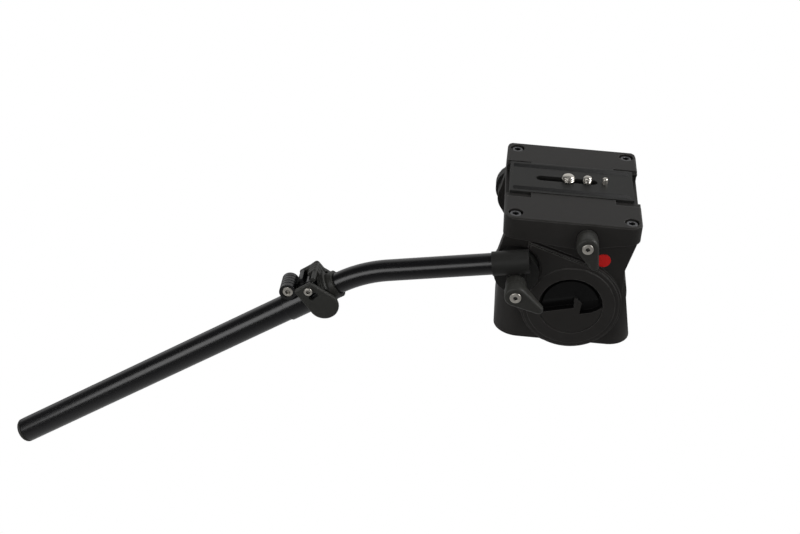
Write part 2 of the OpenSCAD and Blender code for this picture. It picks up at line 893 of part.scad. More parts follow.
module far_rosette() {
    color(STEEL) mirror([0, 1, 0]) rosette(drum_t + far_rise, far_flange_r, far_rise - 1);
}

// Round cover in the far drum, with the lock bolt through it
module far_cover() {
    color(BLACK) mirror([0, 1, 0]) near_plane(dial_floor) translate([0, axis_z]) difference() {
        union() {
            cylinder(r = cover_r, h = dial_recess - 1.5);
            cylinder(r = cover_r - 1.5, h = dial_recess);
        }
        translate([0, 0, -1]) cylinder(d = bolt_d + 2 * run_fit, h = dial_recess + 2);
    }
}

// Plate lock, on the block's near wall

module plate_lock_place() {
    near_plane(block_w / 2 + hub_gap) translate([lock_x, lock_z]) children();
}

module plate_lock_lever() {
    color(BLACK) plate_lock_place() lever(plate_hub_l, arm_t, plate_lock_angle);
}

module plate_lock_screw() {
    color(NICKEL) plate_lock_place() lever_screw(plate_hub_l);
}

module plate_lock_bolt() {
    reach = block_w / 2 + jaw_face - jaw_w - jaw_travel - 2 * gap;
    color(STEEL) near_plane(block_w / 2 - reach) translate([lock_x, lock_z])
        cylinder(d = lock_bolt_d, h = reach + hub_gap);
}

// Camera plate

module camera_plate() {
    head_r = max(large_head_d, small_head_d) / 2 + 0.6;
    color(BLACK) difference() {
        intersection() {
            along_x(plate_x - plate_l / 2, plate_l) plate_section(0);
            translate([0, 0, plate_z - 1]) linear_extrude(plate_t + 2)
                round_rect([plate_x - plate_l / 2, plate_y - flange_w / 2],
                           [plate_x + plate_l / 2, plate_y + flange_w / 2], 2);
        }
        translate([0, 0, plate_z - 1]) linear_extrude(plate_t + 2) slot_outline(slot_w / 2);
        translate([large_screw_x, plate_y, plate_z]) cylinder(d = large_screw_d + 0.8, h = plate_t + 1);
        translate([0, 0, plate_z - 1]) linear_extrude(head_slot_h + 1) slot_outline(head_r);
        translate([pin_x, plate_y, plate_z - 1]) {
            cylinder(d = pin_d + 2 * run_fit, h = plate_t + 2);
            cylinder(d = pin_flange_d + 2 * gap, h = pin_cavity + 1);
        }
        for (s = [-1, 1]) translate([0, 0, plate_top - pad_t])
            linear_extrude(pad_t + 1) pad_outline(s, seat_fit);
    }
}

module slot_outline(r) {
    translate([slot_x0, plate_y - r]) square([slot_x1 - slot_x0, 2 * r]);
    for (x = [slot_x0, slot_x1]) translate([x, plate_y]) circle(r);
}

module pad_outline(s, t) {
    y = plate_y + s * (plate_w / 2 - pad_inset - pad_w / 2);
    round_rect([plate_x - plate_l / 2 + pad_inset - t, y - pad_w / 2 - t],
               [plate_x + plate_l / 2 - pad_inset + t, y + pad_w / 2 + t], 1);
}

module plate_pads() {
    color([0.05, 0.05, 0.05]) for (s = [-1, 1]) translate([0, 0, plate_top - pad_t])
        linear_extrude(pad_t + 0.3) pad_outline(s, 0);
}

// Captive screw: a slotted head under the plate, a thin neck and the thread above the plate
module camera_screw(x, d, head) {
    translate([x, plate_y, 0]) difference() {
        union() {
            translate([0, 0, plate_z + gap]) cylinder(d = head, h = screw_head_t);
            translate([0, 0, plate_z + gap]) cylinder(d = neck_d, h = plate_t);
            translate([0, 0, plate_top + gap]) cylinder(d = d, h = screw_rise - gap);
        }
        translate([-head, -0.8, plate_z - 1]) cube([2 * head, 1.6, 1 + gap + screw_head_t / 2]);
    }
}

module large_screw() {
    color(NICKEL) camera_screw(large_screw_x, large_screw_d, large_head_d);
}

module small_screw() {
    color(NICKEL) camera_screw(small_screw_x, small_screw_d, small_head_d);
}

module video_pin() {
    color(NICKEL) translate([pin_x, plate_y, plate_z + pin_cavity - pin_flange_t]) {
        cylinder(d = pin_flange_d, h = pin_flange_t - run_fit);
        cylinder(d = pin_d, h = plate_t - pin_cavity + pin_flange_t + pin_rise);
    }
}

module pin_spring() {
    color(STEEL) translate([pin_x, plate_y, plate_z + plug_t])
        washer(pin_flange_d, pin_flange_d - 2, pin_cavity - pin_flange_t - plug_t);
}

module pin_plug() {
    color(BLACK) translate([pin_x, plate_y, plate_z])
        cylinder(d = pin_flange_d + 2 * gap - 2 * seat_fit, h = plug_t);
}

// Tilt drag dial

module tilt_dial() {
    h = dial_recess - gap - dial_sink;
    slope = atan2(pocket_deep, pocket_r - pocket_low);
    color(BLACK) near_plane(dial_floor + gap) translate([0, axis_z]) {
        difference() {
            union() {
                cylinder(r = dial_r, h = h - dial_chamfer * 0.6);
                translate([0, 0, h - dial_chamfer * 0.6])
                    cylinder(r1 = dial_r, r2 = dial_r - dial_chamfer, h = dial_chamfer * 0.6);
            }
            difference() {
                intersection() {
                    translate([0, 0, -1]) cylinder(r = pocket_r, h = h + 2);
                    translate([-dial_r, pocket_low, h - pocket_deep]) rotate([slope, 0, 0])
                        cube([2 * dial_r, 2 * dial_r, 2 * pocket_deep]);
                    translate([-dial_r, pocket_low, 0]) cube([2 * dial_r, dial_r, h + 1]);
                }
                translate([-pocket_web / 2, -dial_r, -1]) cube([pocket_web, 2 * dial_r, h + 2]);
            }
        }
        translate([0, 0, -gap - 1.7]) cylinder(d = axle_d, h = gap + 2);
    }
}

// Tilt lock, on the far end of the tilt axle

module tilt_lock_place() {
    mirror([0, 1, 0]) near_plane(drum_face + hub_gap) translate([0, axis_z]) children();
}

module tilt_lock_lever() {
    color(BLACK) tilt_lock_place() lever(tilt_hub_l, arm_t, tilt_lock_angle);
}

module tilt_lock_screw() {
    color(NICKEL) tilt_lock_place() lever_screw(tilt_hub_l);
}

module tilt_lock_bolt() {
    color(STEEL) tilt_lock_place() translate([0, 0, -dial_recess - hub_gap])
        cylinder(d = bolt_d, h = dial_recess + hub_gap);
}

// Pan bar

module bar_clamp() {
    color(BLACK) difference() {
        union() {
            near_plane(clamp_face) translate([rosette_x, rosette_z])
                cylinder(r = clamp_disc_r, h = clamp_disc_t);
            near_plane(clamp_face) translate([rosette_x, rosette_z])
                cylinder(d = seat_d, h = hub_seat - clamp_face);
            bar_frame() translate([-socket_lead, 0, 0]) rotate([0, 90, 0])
                cylinder(d = socket_d, h = socket_l);
        }
        bar_frame() translate([-socket_lead - 1, 0, 0]) rotate([0, 90, 0])
            cylinder(d = bar_d + 2 * seat_fit, h = socket_l + 2);
        near_plane(clamp_face - 1) translate([rosette_x, rosette_z])
            cylinder(d = bolt_d + 2 * run_fit, h = hub_seat);
    }
}

// The bend is a hair thicker than the straight stretches, which run a little way into it
module tube_path(d, past) {
    translate([-socket_lead + 1 - past, 0, 0]) rotate([0, 90, 0])
        cylinder(d = d, h = straight_l + socket_lead - 1 + past + bend_lap);
    translate([straight_l, 0, -bend_r]) rotate([90, 0, 0]) rotate([0, 0, 90 - bar_bend])
        rotate_extrude(angle = bar_bend) translate([bend_r, 0]) circle(d = d + 2 * bend_step);
    translate([knee_l, 0, 0]) rotate([0, bar_bend, 0]) translate([bend_tangent - bend_lap, 0, 0])
        rotate([0, 90, 0])
        cylinder(d = d, h = inner_l - bend_tangent + bend_lap + past);
}

module pan_bar() {
    color(TUBE) bar_frame() difference() {
        tube_path(bar_d, 0);
        tube_path(bar_d - 2 * tube_wall, 1);
    }
}

module bar_washer() {
    color(NICKEL) near_plane(hub_seat) translate([rosette_x, rosette_z])
        washer(washer_d, bolt_d + 2 * run_fit, washer_t);
}

module bar_lever_place() {
    near_plane(hub_seat + washer_t + hub_gap) translate([rosette_x, rosette_z]) children();
}

module bar_lever() {
    color(BLACK) bar_lever_place() lever(bar_hub_l, arm_t, bar_lever_angle);
}

module bar_lever_screw() {
    color(NICKEL) bar_lever_place() lever_screw(bar_hub_l);
}

module rosette_bolt() {
    y0 = cheek_in + 1;
    color(STEEL) near_plane(y0) translate([rosette_x, rosette_z])
        cylinder(d = bolt_d, h = hub_seat + washer_t + hub_gap - y0);
}

// Telescopic grip

// Round bar across the grip, at s along it and w above its axis
module cross_bar(s, w, d, half) {
    grip_frame() translate([s, half, w]) rotate([90, 0, 0]) cylinder(d = d, h = 2 * half);
}

// Barrel of the pinch screw, with finger grooves round it
module pinch_barrel() {
    difference() {
        cross_bar(pinch_s, pinch_w, pinch_d, ear_w / 2);
        for (i = [0:barrel_grooves - 1])
            grip_frame()
                translate([pinch_s, (i - (barrel_grooves - 1) / 2) * barrel_pitch + barrel_groove / 2, pinch_w])
                rotate([90, 0, 0]) washer(pinch_d + 2, pinch_d - 2 * barrel_groove, barrel_groove);
    }
}

// Raised ledge behind the pivot, with a back that falls towards the barrel
module ledge_outline() {
    polygon([
        [0, ledge_low], [0, ledge_w - 0.6], [1.5, ledge_w], [ledge_l / 2, ledge_w - 1],
        [ledge_l, ledge_w - ledge_fall], [ledge_l, ledge_low]
    ]);
}

module clamp_collar() {
    nose_end = collar_start + bush_nose;
    far = flank_in - gap;
    color(BLACK) difference() {
        union() {
            grip_frame() {
                translate([nose_end, 0, 0]) rotate([0, 90, 0])
                    cylinder(d = collar_d, h = collar_end - nose_end);
                translate([saddle_start, -saddle_w / 2, 0])
                    cube([ledge_s - saddle_start + 1, saddle_w, pivot_w]);
                translate([ledge_s + 1, -web_w / 2, 0]) cube([pinch_s - ledge_s - 1, web_w, pinch_w - 2]);
                translate([ledge_s, ledge_near, 0]) rotate([90, 0, 0])
                    linear_extrude(ledge_near + far) ledge_outline();
                translate([pivot_s, saddle_w / 2, pivot_w]) rotate([90, 0, 0])
                    cylinder(d = pivot_boss_d, h = saddle_w / 2 + far);
            }
            pinch_barrel();
        }
        grip_frame() {
            translate([collar_start, 0, 0]) rotate([0, 90, 0])
                cylinder(d = bar_d + 2 * run_fit, h = collar_end);
            translate([grip_start, 0, 0]) rotate([0, 90, 0])
                cylinder(d = grip_d + 2 * seat_fit, h = collar_end);
            translate([pinch_s, ear_w / 2 - 2, pinch_w]) rotate([-90, 0, 0])
                cylinder(d = pinch_head_d + 2 * seat_fit, h = 3);
        }
        cross_bar(pivot_s, pivot_w, pivot_d + 2 * seat_fit, 2 * ear_w);
        cross_bar(pinch_s, pinch_w, pinch_screw_d + 2 * seat_fit, ear_w);
    }
}

module wiper_bush() {
    color(TUBE) grip_frame() translate([collar_start, 0, 0]) rotate([0, 90, 0])
        washer(nose_d, bar_d + 2 * run_fit, bush_nose);
}

module grip_tube() {
    color(TUBE) grip_frame() translate([grip_start, 0, 0]) rotate([0, 90, 0])
        washer(grip_d, grip_d - 2 * tube_wall, grip_end - cap_t - grip_start);
}

module grip_cap() {
    color(BLACK) grip_frame() translate([grip_end - cap_t, 0, 0]) rotate([0, 90, 0]) {
        cylinder(d = grip_d, h = cap_t - 1);
        translate([0, 0, cap_t - 1]) cylinder(d1 = grip_d, d2 = grip_d - 2, h = 1);
        translate([0, 0, -cap_plug]) cylinder(d = grip_d - 2 * tube_wall - 2 * seat_fit, h = cap_plug + 1);
    }
}

module pinch_screw() {
    color(NICKEL) difference() {
        union() {
            cross_bar(pinch_s, pinch_w, pinch_screw_d, ear_w / 2 - 1);
            grip_frame() translate([pinch_s, ear_w / 2 - 2, pinch_w]) rotate([-90, 0, 0])
                cylinder(d = pinch_head_d, h = 1.6);
        }
        grip_frame() translate([pinch_s, ear_w / 2 - 2, pinch_w]) rotate([-90, 0, 0])
            cylinder(d = pinch_screw_d * 0.8, h = 3, $fn = 6);
    }
}

module lever_pin() {
    color(NICKEL) {
        cross_bar(pivot_s, pivot_w, pivot_d, flank_in + flank_t + gap);
        grip_frame() translate([pivot_s, flank_in + flank_t + gap, pivot_w]) rotate([-90, 0, 0])
            cylinder(d = pivot_head_d, h = 1.6);
    }
}

// Side of the flip lever: a straight top over the pivot and a round thumb lobe beside the tube
module flank_outline() {
    taper(flank_rear, flank_edge_r, flank_front, flank_edge_r);
    taper(flank_front, flank_edge_r, lobe, lobe_r);
    taper(flank_rear, flank_edge_r, lobe, lobe_r);
    polygon([flank_rear, flank_front, lobe]);
}

// The lever's broad back, from its crest to its foot in front of the collar
module back_outline() {
    taper(back_crest, back_crest_r, back_rear, back_rear_r);
    taper(back_crest, back_crest_r, back_foot, back_foot_r);
}

module clamp_lever() {
    outer = flank_in + flank_t;
    color(BLACK) difference() {
        union() {
            for (y = [-flank_in, outer]) grip_frame() translate([0, y, 0]) rotate([90, 0, 0])
                linear_extrude(flank_t) flank_outline();
            grip_frame() translate([0, ledge_near, 0]) rotate([90, 0, 0])
                linear_extrude(ledge_near + flank_in + 0.5) back_outline();
            cross_bar(back_crest[0], back_crest[1], bridge_d, flank_in + 0.5);
        }
        cross_bar(pivot_s, pivot_w, pivot_d + 2 * run_fit, outer + 1);
        grip_frame() translate([collar_start, 0, 0]) rotate([0, 90, 0])
            cylinder(r = arch_r, h = collar_end);
        grip_frame() translate([0, outer + 1, 0]) rotate([90, 0, 0]) linear_extrude(flank_t + 1.4)
            taper(notch_ends[0], notch_r, notch_ends[1], notch_r);
    }
}

base_plate();
thread_insert();
pan_spindle();
base_screws();
pan_washer();
spindle_nut();
base_collar();
pan_housing();
housing_floor();
floor_screws();
pan_bush();
tilt_bushes();
drag_drum();
drag_cap();
balance_spring();
level_vial();
level_rim();
pan_lock_knob();
pan_lock_bolt();
tilt_axle();
drag_rotor();
top_block();
near_cheek();
far_cheek();
corner_screws();
near_rosette();
far_rosette();
cheek_disc();
far_cover();
plate_lock_lever();
plate_lock_screw();
plate_lock_bolt();
plate_jaw();
camera_plate();
plate_pads();
large_screw();
small_screw();
video_pin();
pin_spring();
pin_plug();
tilt_dial();
tilt_lock_lever();
tilt_lock_screw();
tilt_lock_bolt();
bar_clamp();
pan_bar();
bar_washer();
bar_lever();
bar_lever_screw();
rosette_bolt();
clamp_collar();
grip_tube();
grip_cap();
pinch_screw();
lever_pin();
wiper_bush();
clamp_lever();
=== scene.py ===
import json
import math

import bmesh
import bpy
import numpy as np
from mathutils import Matrix, Quaternion, Vector


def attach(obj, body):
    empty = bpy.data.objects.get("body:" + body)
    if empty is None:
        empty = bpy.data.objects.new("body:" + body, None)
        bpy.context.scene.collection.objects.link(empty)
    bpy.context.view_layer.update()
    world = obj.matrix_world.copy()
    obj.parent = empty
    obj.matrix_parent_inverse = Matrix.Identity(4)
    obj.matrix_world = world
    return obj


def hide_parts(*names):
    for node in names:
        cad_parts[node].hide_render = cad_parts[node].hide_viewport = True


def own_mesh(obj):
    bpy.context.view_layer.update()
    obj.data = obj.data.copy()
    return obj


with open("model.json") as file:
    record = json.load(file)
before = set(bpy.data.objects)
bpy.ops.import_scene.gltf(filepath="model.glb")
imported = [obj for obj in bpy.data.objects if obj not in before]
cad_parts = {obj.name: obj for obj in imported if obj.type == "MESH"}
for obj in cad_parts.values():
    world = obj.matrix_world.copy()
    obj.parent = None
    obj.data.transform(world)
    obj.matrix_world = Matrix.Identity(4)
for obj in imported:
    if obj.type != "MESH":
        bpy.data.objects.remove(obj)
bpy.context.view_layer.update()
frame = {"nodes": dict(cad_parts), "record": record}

MM = 0.001
scene = bpy.context.scene


# Finishes. The grain sizes are real ones: in the photograph's frame they only dull the gloss, close up they show.

CLOUD_MM = 14        # patches in which tone and gloss drift
BUMP_MM = 0.15       # height of the grain
RECESS_SHADE = "#0c0b0a"    # colour of painted shade in recesses


def linear(code):
    """Linear RGBA of an sRGB hex colour."""
    c = np.array([int(code[i:i + 2], 16) for i in (1, 3, 5)]) / 255.0
    low, high = c / 12.92, ((c + 0.055) / 1.055) ** 2.4
    return (*np.where(c <= 0.04045, low, high), 1.0)


def add(tree, kind, settings=None, **links):
    """Adds one node: settings go to its attributes or input sockets, links join sockets to its inputs, which are
    given by name or, as _0 or _1, by number."""
    node = tree.nodes.new(kind)
    for key, value in (settings or {}).items():
        if isinstance(key, str) and hasattr(node, key):
            setattr(node, key, value)
        else:
            node.inputs[key].default_value = value
    for key, source in links.items():
        numbered = key[0] == "_" and key[1:].isdigit()
        tree.links.new(source, node.inputs[int(key[1:]) if numbered else key.replace("_", " ")])
    return node


def finish_of(name, code, roughness, metallic=0.0, grain_mm=0.3, grain=0.1, tone=0.06, rough_span=0.06,
              edge_mm=0.5, edge_highlight_code=None, deep=None, recess_shade_mm=0.0, **sockets):
    """A surface with a colour, a fine grain in the bump, cloudy tone and gloss, and softened edges. The edge colour
    is a paler colour laid in patches on the edges as a painted highlight. deep is (y, y, colour) in millimetres: past
    the first plane the paint gives way to another colour, a painted shade, wholly past the second. The recess width
    in millimetres is how wide a recess may be to be darkened with painted shade."""
    mat = bpy.data.materials.new(name)
    mat.use_nodes = True
    tree = mat.node_tree
    shader = tree.nodes["Principled BSDF"]
    place = add(tree, "ShaderNodeTexCoord").outputs["Object"]
    fine = add(tree, "ShaderNodeTexNoise",
               {"Scale": 1 / (grain_mm * MM), "Detail": 3.0, "Roughness": 0.6}, Vector=place)
    cloud = add(tree, "ShaderNodeTexNoise",
                {"Scale": 1 / (CLOUD_MM * MM), "Detail": 4.0, "Roughness": 0.6}, Vector=place)
    base = np.array(linear(code)[:3])
    shades = add(tree, "ShaderNodeValToRGB", None, Fac=cloud.outputs["Fac"])
    for stop, position, level in zip(shades.color_ramp.elements, (0.3, 0.7), (1 - tone, 1 + tone)):
        stop.position, stop.color = position, (*(base * level), 1)
    colour = shades.outputs["Color"]
    soft = add(tree, "ShaderNodeBevel", {"samples": 6, "Radius": edge_mm * MM})
    if edge_highlight_code:
        # An edge is where the softened normal turns away from the true one; a paler colour laid there in patches is a
        # painted highlight
        facing = add(tree, "ShaderNodeNewGeometry")
        turn = add(tree, "ShaderNodeVectorMath", {"operation": "DOT_PRODUCT"},
                   _0=soft.outputs["Normal"], _1=facing.outputs["Normal"])
        edge_glint = add(tree, "ShaderNodeMapRange",
                   {"From Min": 0.998, "From Max": 0.90, "To Min": 0.0, "To Max": 0.55}, Value=turn.outputs["Value"])
        patchy = add(tree, "ShaderNodeMath", {"operation": "MULTIPLY"},
                     _0=edge_glint.outputs["Result"], _1=cloud.outputs["Fac"])
        mixed = add(tree, "ShaderNodeMix", {"data_type": "RGBA"}, _0=patchy.outputs["Value"], _6=colour)
        mixed.inputs[7].default_value = linear(edge_highlight_code)
        colour = mixed.outputs[2]
    if deep:
        # Painted shade: past the planes along Y the colour gives way to a darker one
        begin, whole, depth_shade_code = deep
        along = add(tree, "ShaderNodeSeparateXYZ", None, Vector=place)
        past = add(tree, "ShaderNodeMapRange", {"From Min": begin * MM, "From Max": whole * MM},
                   Value=along.outputs["Y"])
        mixed = add(tree, "ShaderNodeMix", {"data_type": "RGBA"}, _0=past.outputs["Result"], _6=colour)
        mixed.inputs[7].default_value = linear(depth_shade_code)
        colour = mixed.outputs[2]
    if recess_shade_mm:
        # Painted shade: where ambient occlusion finds the surface enclosed, the colour darkens
        openness = add(tree, "ShaderNodeAmbientOcclusion",
                       {"samples": 8, "only_local": True, "Distance": recess_shade_mm * MM})
        unshaded = add(tree, "ShaderNodeMapRange", {"From Min": 0.3, "From Max": 0.85}, Value=openness.outputs["AO"])
        mixed = add(tree, "ShaderNodeMix", {"data_type": "RGBA"}, _0=unshaded.outputs["Result"], _7=colour)
        mixed.inputs[6].default_value = linear(RECESS_SHADE)
        colour = mixed.outputs[2]
    tree.links.new(colour, shader.inputs["Base Color"])
    gloss = add(tree, "ShaderNodeMapRange",
                {"To Min": roughness - rough_span, "To Max": roughness + rough_span}, Value=cloud.outputs["Fac"])
    tree.links.new(gloss.outputs["Result"], shader.inputs["Roughness"])
    bump = add(tree, "ShaderNodeBump", {"Strength": grain, "Distance": BUMP_MM * MM},
               Height=fine.outputs["Fac"], Normal=soft.outputs["Normal"])
    tree.links.new(bump.outputs["Normal"], shader.inputs["Normal"])
    shader.inputs["Metallic"].default_value = metallic
    for key, value in sockets.items():
        shader.inputs[key.replace("_", " ")].default_value = value
    return mat


# Cast aluminium under dark grey powder paint: a fine orange peel that breaks up the light, with paler edges as a
# painted highlight
cast_paint = finish_of("cast_paint", "#1c1b1a", 0.46, grain_mm=0.45, grain=0.20,
                       edge_mm=0.9, edge_highlight_code="#585755", Specular_IOR_Level=0.13)
# Black anodised aluminium: satin, with a very fine grain and paler edges as a painted highlight
anodised = finish_of("black_anodised", "#191918", 0.42, grain_mm=0.25, grain=0.12,
                     edge_mm=0.5, edge_highlight_code="#393938", Specular_IOR_Level=0.11)
# Moulded ABS: satin black with a faint spark-eroded texture
moulded = finish_of("moulded_abs", "#21211f", 0.42, grain_mm=0.35, grain=0.16,
                    edge_mm=0.6, Specular_IOR_Level=0.2)
# The drag dial: painted like the drum on its face, darkening to near black in its pockets as painted shade, with
# paler edges as a painted highlight
dial_paint = finish_of("dial_paint", "#1b1a19", 0.44, grain_mm=0.45, grain=0.14, edge_mm=0.4, edge_highlight_code="#585755",
                       deep=(-57.7, -57.2, "#060606"), Specular_IOR_Level=0.14)
# Gloss black tube: smooth lacquer over drawn aluminium
lacquer = finish_of("tube_lacquer", "#060607", 0.25, grain_mm=0.6, grain=0.02, rough_span=0.03)
# Satin nickel plate over turned steel, a little hazy, with painted shade in sockets and threads
nickel = finish_of("nickel_plate", "#c2beb6", 0.30, metallic=0.92, grain_mm=0.3, grain=0.08,
                   tone=0.04, recess_shade_mm=2.5)
# Turned steel, bare: fine tool marks dull it
steel = finish_of("turned_steel", "#8b8b8d", 0.34, metallic=1.0, grain_mm=0.25, grain=0.08)
# Black zinc plate on cap screws: a dark metal that still flashes on its rim, with painted shade in its sockets
black_zinc = finish_of("black_zinc", "#5a5a5c", 0.34, metallic=0.9, grain_mm=0.25, grain=0.1, recess_shade_mm=2.5)
# Turned brass
brass = finish_of("turned_brass", "#b9994f", 0.3, metallic=1.0, grain_mm=0.25, grain=0.06)
# Moulded rubber: matt, with a dusty grain
rubber = finish_of("ribbed_rubber", "#161616", 0.72, grain_mm=0.5, grain=0.3, Specular_IOR_Level=0.3)
# Red enamel in a shallow recess: glossy and even
red = finish_of("red_enamel", "#a0100e", 0.30, grain_mm=0.8, grain=0.02, Specular_IOR_Level=0.3)
# Fluid in an acrylic vial
vial = finish_of("level_fluid", "#b6d13c", 0.12, grain_mm=2.0, grain=0.0, Transmission_Weight=0.5, IOR=1.45)

FINISH = {
    "grey_paint": cast_paint, "black_metal": anodised, "black_plastic": moulded, "tube_black": lacquer,
    "nickel": nickel, "steel": steel, "black_steel": black_zinc, "cast_alloy": anodised, "brass": brass,
    "rubber": rubber, "red_plastic": red, "vial": vial,
}
SLOT_OF = {s["node"]: s["material_slot"] for s in frame["record"]["subparts"]}
# The collar is as glossy as the tube it sits on, so the tube's highlight runs on over it
OWN_FINISH = {"clamp_collar": lacquer}
for node, obj in frame["nodes"].items():
    obj.data.materials.clear()
    obj.data.materials.append(OWN_FINISH.get(node, FINISH[SLOT_OF[node]]))


# Shapes, in millimetres

def turned(profile, n=72):
    """A profile of (radius, height) points carried round the axis: rows of n points each."""
    r, h = np.asarray(profile, float).T
    t = np.linspace(0, 2 * np.pi, n, endpoint=False)
    return np.stack([r[:, None] * np.cos(t), r[:, None] * np.sin(t), np.repeat(h[:, None], n, 1)], -1)


def eased(corners, steps=5):
    """A path of (r, h, radius) corners with each corner swept into a quadratic curve of about that radius."""
    p = np.asarray(corners, float)
    out = [p[:1, :2]]
    for a, b, c in zip(p[:-2], p[1:-1], p[2:]):
        u, v = a[:2] - b[:2], c[:2] - b[:2]
        reach = min(b[2], 0.48 * np.linalg.norm(u), 0.48 * np.linalg.norm(v))
        s, e = b[:2] + u / np.linalg.norm(u) * reach, b[:2] + v / np.linalg.norm(v) * reach
        t = np.linspace(0, 1, steps if reach > 1e-6 else 1)[:, None]
        out.append((1 - t) ** 2 * s + 2 * t * (1 - t) * b[:2] + t ** 2 * e)
    return np.vstack(out + [p[-1:, :2]])


def hull_outline(circles, n=96):
    """Outline of the hull of (x, y, r) circles: for each angle, the point that reaches furthest along the normal."""
    t = np.linspace(0, 2 * np.pi, n, endpoint=False)
    normal = np.stack([np.cos(t), np.sin(t)], -1)
    c = np.asarray(circles, float)
    best = np.argmax(normal @ c[:, :2].T + c[:, 2], 1)
    return c[best, :2] + c[best, 2:] * normal, normal


def slab(outline, normal, low, high, fillet, steps=6):
    """An outline raised from low to high (numbers or one per point); both rims turn in by a quarter circle."""
    q = np.linspace(0, np.pi / 2, steps)
    inset = fillet * np.concatenate([1 - np.sin(q), 1 - np.cos(q)])
    share = np.concatenate([1 - np.cos(q), np.sin(q)])[:, None]
    lower_rim = np.arange(2 * steps)[:, None] < steps
    lift = np.where(lower_rim, low + fillet * share, high - fillet * (1 - share))
    flat = outline[None] - inset[:, None, None] * normal[None]
    return np.concatenate([flat, np.broadcast_to(lift, flat.shape[:2])[..., None]], -1)


def socket_head(radius, low, high, across, depth, n=72):
    """A cap screw's head: a turned body whose top row draws in to a hexagon that goes down as the key's socket."""
    side = [(radius * 0.9, low, 0), (radius, low, 0.1), (radius, high, 0.35 * radius), (across * 0.62, high, 0)]
    body = turned(eased(side), n)
    t = np.linspace(0, 2 * np.pi, n, endpoint=False)
    r = across / 2 / np.cos((t + np.pi / 6) % (np.pi / 3) - np.pi / 6)
    ring = np.stack([r * np.cos(t), r * np.sin(t), np.full(n, high)], -1)
    return np.concatenate([body, ring[None], (ring - [0, 0, depth])[None]])


def threaded(radius, low, high, pitch, cut, dome, n=64):
    """A thread: the radius falls by a triangle wave of height along a helix, and the tip closes as a dome."""
    rows_per_turn = 14
    h = np.linspace(low, high - dome, int((high - low - dome) / pitch * rows_per_turn))[:, None]
    t = np.linspace(0, 2 * np.pi, n, endpoint=False)[None]
    wave = np.abs(((h / pitch - t / (2 * np.pi)) % 1) * 2 - 1)
    r = radius - cut * wave
    a = np.linspace(0.15, np.pi / 2 - 0.03, 11)[:, None]
    r = np.concatenate([r, (radius - 0.5 * cut) * np.cos(a) + 0 * t])
    h = np.concatenate([np.broadcast_to(h, (len(h), n)), high - dome + dome * np.sin(a) + 0 * t])
    return np.stack([r * np.cos(t), r * np.sin(t), h], -1)


def piped(path, radius, n=64):
    """A circle carried along a path in a plane Y = constant."""
    path = np.asarray(path, float)
    d = np.gradient(path, axis=0)
    d /= np.linalg.norm(d, axis=1, keepdims=True)
    side = np.array([0.0, 1.0, 0.0])
    up = np.cross(d, side)
    t = np.linspace(0, 2 * np.pi, n, endpoint=False)[None, :, None]
    r = np.broadcast_to(np.asarray(radius, float), (len(path),))[:, None, None]
    return path[:, None] + r * (np.cos(t) * side + np.sin(t) * up[:, None])


def near_side(x, z, y):
    """Place on the near side: local X and Y go to X and Z, local height goes out towards -Y from y."""
    return lambda p: np.stack([x + p[..., 0], -y - p[..., 2], z + p[..., 1]], -1)


def far_side(x, z, y):
    """The same on the far side, out towards +Y."""
    return lambda p: np.stack([x + p[..., 0], y + p[..., 2], z + p[..., 1]], -1)


def upright(x, y):
    """Place with local height up."""
    return lambda p: p + np.array([x, y, 0])


def turned_by(p, degrees):
    """Local points turned about the local height."""
    cos, sin = np.cos(np.radians(degrees)), np.sin(np.radians(degrees))
    x, y, height = p[..., 0], p[..., 1], p[..., 2]
    return np.stack([x * cos - y * sin, x * sin + y * cos, height], -1)


def piece(name, shells, finish, body, nodes=(), sharp=35):
    """One object from closed shells, on a body and in place of nodes. A shell is rows of points round a loop; its
    first and last rows are filled, or joined if it is given as (rows, True). Edges over sharp degrees stay crisp."""
    verts, faces, start = [], [], 0
    for shell in shells:
        rows, joined = shell if isinstance(shell, tuple) else (shell, False)
        m, n = rows.shape[:2]
        i = np.arange(m if joined else m - 1)[:, None]
        j = np.arange(n)[None]
        k, i2 = (j + 1) % n, (i + 1) % m
        corners = np.broadcast_arrays(i * n + j, i * n + k, i2 * n + k, i2 * n + j)
        faces += (np.stack(corners, -1).reshape(-1, 4) + start).tolist()
        if not joined:
            faces += [list(range(start, start + n)), list(range(start + (m - 1) * n, start + m * n))]
        verts.append(rows.reshape(-1, 3))
        start += m * n
    mesh = bpy.data.meshes.new(name)
    mesh.from_pydata((np.concatenate(verts) * MM).tolist(), [], faces)
    work = bmesh.new()
    work.from_mesh(mesh)
    bmesh.ops.remove_doubles(work, verts=work.verts, dist=1e-7)
    bmesh.ops.recalc_face_normals(work, faces=work.faces)
    work.to_mesh(mesh)
    work.free()
    mesh.polygons.foreach_set("use_smooth", np.ones(len(mesh.polygons), bool))
    mesh.set_sharp_from_angle(angle=math.radians(sharp))
    mesh.materials.append(finish)
    obj = bpy.data.objects.new(name, mesh)
    scene.collection.objects.link(obj)
    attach(obj, body)
    if nodes:
        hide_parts(*nodes)
    return obj


